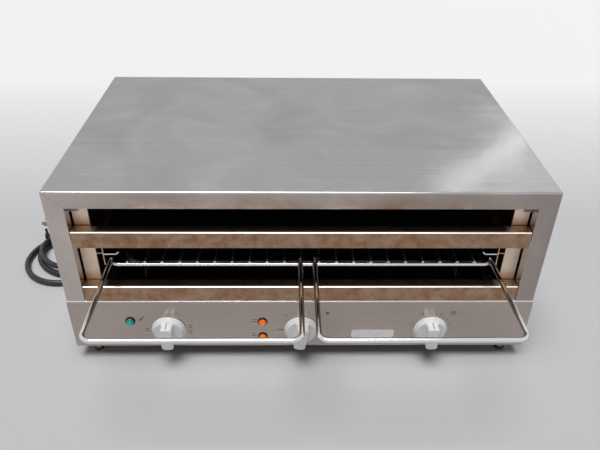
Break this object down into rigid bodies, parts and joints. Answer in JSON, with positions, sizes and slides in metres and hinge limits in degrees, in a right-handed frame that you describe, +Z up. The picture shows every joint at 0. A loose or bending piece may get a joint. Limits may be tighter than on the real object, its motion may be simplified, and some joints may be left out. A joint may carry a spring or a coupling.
{
  "type": "commercial toaster",
  "caption": "Slide-in shop toaster: steel cabinet with an open front, a wire rack with two handle loops, removable trays, heating rods, rotary controls and pilot lamps.",
  "frame": {"origin": "on the surface it stands on, under the middle of the cabinet, its handles and its rear screws", "axes": "+X to the right as seen from the front, +Y to the rear, +Z up"},
  "size_m": [0.871, 0.7457, 0.304],
  "materials": {
    "casing_steel": "brushed stainless steel, lines across the width",
    "panel_steel": "brushed stainless steel, finer and brighter",
    "liner_steel": "dull aluminised sheet with heat tint",
    "tray_steel": "stainless sheet, baked and speckled",
    "rack_chrome": "bright chromed rod",
    "element_sheath": "brown oxidised tube",
    "element_support": "heat-dulled strip",
    "ceramic_white": "unglazed white ceramic",
    "zinc_steel": "bright zinc plate",
    "knob_grey": "satin light grey moulding",
    "switch_black": "dark moulded case",
    "lamp_black": "glossy black moulding",
    "lens_green": "clear green lens",
    "lens_amber": "clear amber lens",
    "foot_rubber": "black rubber",
    "nylon_white": "natural nylon",
    "brass": "plain brass",
    "loom_red": "silicone sleeved wire",
    "gland_black": "black nylon",
    "cord_black": "black rubber sheath",
    "plug_black": "black moulded plug",
    "tie_black": "black nylon tie"
  },
  "bodies": {
    "cabinet": {"outer_casing": "casing_steel", "rear_panel": "casing_steel", "base_pan": "casing_steel", "control_panel": "panel_steel", "chamber_deck": "liner_steel", "chamber_ceiling": "liner_steel", "left_chamber_wall": "liner_steel", "right_chamber_wall": "liner_steel", "chamber_back_wall": "liner_steel", "left_rack_guide": "liner_steel", "right_rack_guide": "liner_steel", "upper_tray_runners": "liner_steel", "wall_brackets": "liner_steel", "rack_hooks": "rack_chrome", "upper_element_front": "element_sheath", "upper_element_middle": "element_sheath", "upper_element_rear": "element_sheath", "lower_element_front": "element_sheath", "lower_element_middle": "element_sheath", "lower_element_rear": "element_sheath", "element_rests": "element_support", "element_spacers": "element_support", "element_bushes": "ceramic_white", "element_terminals": "zinc_steel", "bracket_screws": "zinc_steel", "rear_screws": "zinc_steel", "panel_screws": "zinc_steel", "foot_nuts": "zinc_steel", "control_nuts": "zinc_steel", "foot_barrels": "zinc_steel", "heat_regulator": "switch_black", "selector_switch": "switch_black", "timer_unit": "switch_black", "lamp_housings": "lamp_black", "power_lens": "lens_green", "heating_lenses": "lens_amber", "foot_pads": "foot_rubber", "terminal_block": "nylon_white", "earth_stud": "brass", "plug_pins": "brass", "wiring_loom": "loom_red", "cord_gland": "gland_black", "gland_nut": "gland_black", "power_cord": "cord_black", "cord_coil": "cord_black", "plug_body": "plug_black", "cord_tie": "tie_black"},
    "rack": {"rack_frame": "rack_chrome", "rack_wires": "rack_chrome", "left_rack_handle": "rack_chrome", "right_rack_handle": "rack_chrome"},
    "upper_tray": {"upper_tray": "tray_steel"},
    "crumb_tray": {"crumb_tray": "tray_steel"},
    "heat_control": {"heat_knob": "knob_grey", "heat_spindle": "zinc_steel"},
    "selector_control": {"selector_knob": "knob_grey", "selector_spindle": "zinc_steel"},
    "timer_control": {"timer_knob": "knob_grey", "timer_spindle": "zinc_steel"}
  },
  "joints": [
    {"name": "rack_slide", "type": "slide", "parent": "cabinet", "child": "rack", "axis": [0, -1, 0], "range_m": [0, 0.2]},
    {"name": "upper_tray_slide", "type": "slide", "parent": "cabinet", "child": "upper_tray", "axis": [0, -1, 0], "range_m": [0, 0.25]},
    {"name": "crumb_tray_slide", "type": "slide", "parent": "cabinet", "child": "crumb_tray", "axis": [0, -1, 0], "range_m": [0, 0.25]},
    {"name": "heat_knob_turn", "type": "hinge", "parent": "cabinet", "child": "heat_control", "pos_m": [-0.203, -0.14105, 0.06], "axis": [0, 1, 0], "range_deg": [0, 300]},
    {"name": "selector_knob_turn", "type": "hinge", "parent": "cabinet", "child": "selector_control", "pos_m": [0, -0.14105, 0.06], "axis": [0, 1, 0], "range_deg": [-9, 261]},
    {"name": "timer_knob_turn", "type": "hinge", "parent": "cabinet", "child": "timer_control", "pos_m": [0.2, -0.14105, 0.06], "axis": [0, 1, 0], "range_deg": [0, 300]}
  ]
}
